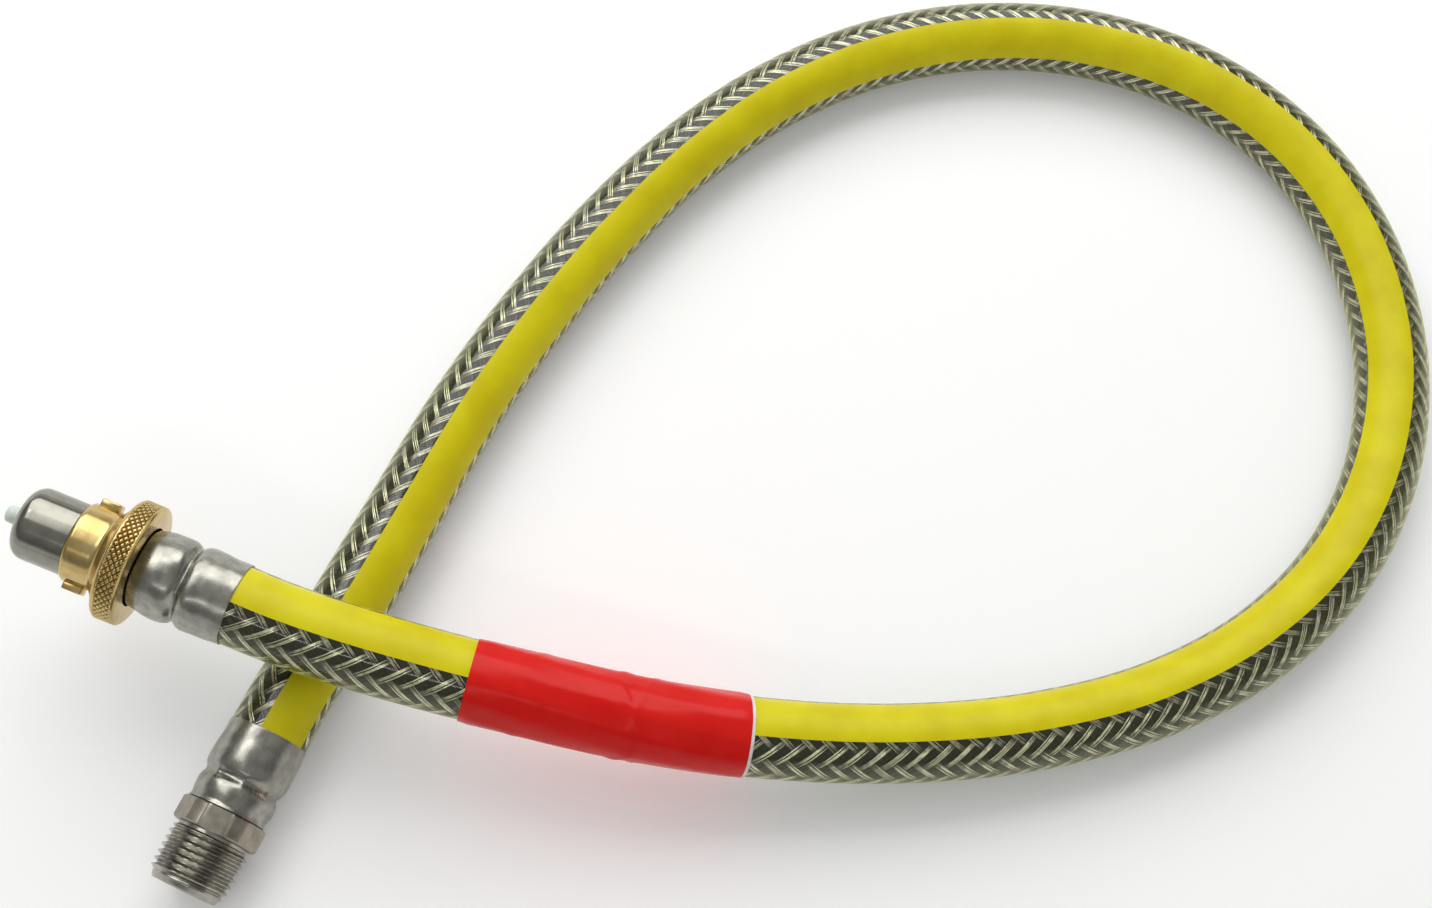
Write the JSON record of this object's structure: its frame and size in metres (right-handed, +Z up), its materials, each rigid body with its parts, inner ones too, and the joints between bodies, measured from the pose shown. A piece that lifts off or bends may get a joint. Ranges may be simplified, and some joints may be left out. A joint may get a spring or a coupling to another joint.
{
  "type": "flexible gas hose",
  "caption": "Braided flexible cooker hose under a clear jacket with a yellow stripe, with a valved bayonet plug on one end and a tapered pipe thread with a hexagon on the other.",
  "frame": {"origin": "floor point under the middle of the two end fittings", "axes": "+Z up from the floor the hose lies on; +X towards the loop; the threaded end points towards -Y and the bayonet plug towards -X"},
  "size_m": [0.3847, 0.2745, 0.0528],
  "materials": {
    "turned_steel": "bright turned",
    "pressed_steel": "pressed and crimped, satin",
    "plated_steel": "plated, satin",
    "brass": "turned and knurled",
    "nylon": "natural nylon",
    "seal_rubber": "matt",
    "liner_rubber": "matt",
    "braid_wire": "woven fine wire",
    "clear_jacket": "clear plastic with one yellow stripe",
    "label_film": "wrapped film, bare"
  },
  "bodies": {
    "hose_body": {"plug_nose": "turned_steel", "plug_tail": "turned_steel", "plug_ferrule": "pressed_steel", "collar_circlip": "turned_steel", "valve_spring": "turned_steel", "spring_retainer": "brass", "hose_liner": "liner_rubber", "hose_braid": "braid_wire", "hose_jacket": "clear_jacket", "label": "label_film", "thread_fitting": "plated_steel", "thread_ferrule": "pressed_steel"},
    "collar": {"bayonet_collar": "brass"},
    "spindle": {"valve_spindle": "nylon", "spindle_seal": "seal_rubber"}
  },
  "joints": [
    {"name": "collar_swivel", "type": "hinge", "parent": "hose_body", "child": "collar", "pos_m": [-0.01113, 0.03298, 0.03765], "axis": [-0.9334, 0.3434, 0.1045], "continuous": true},
    {"name": "spindle_slide", "type": "slide", "parent": "hose_body", "child": "spindle", "axis": [0.9334, -0.3434, -0.1045], "range_m": [0, 0.0026], "stiffness_N_per_m": 400, "springref_m": -0.006}
  ]
}
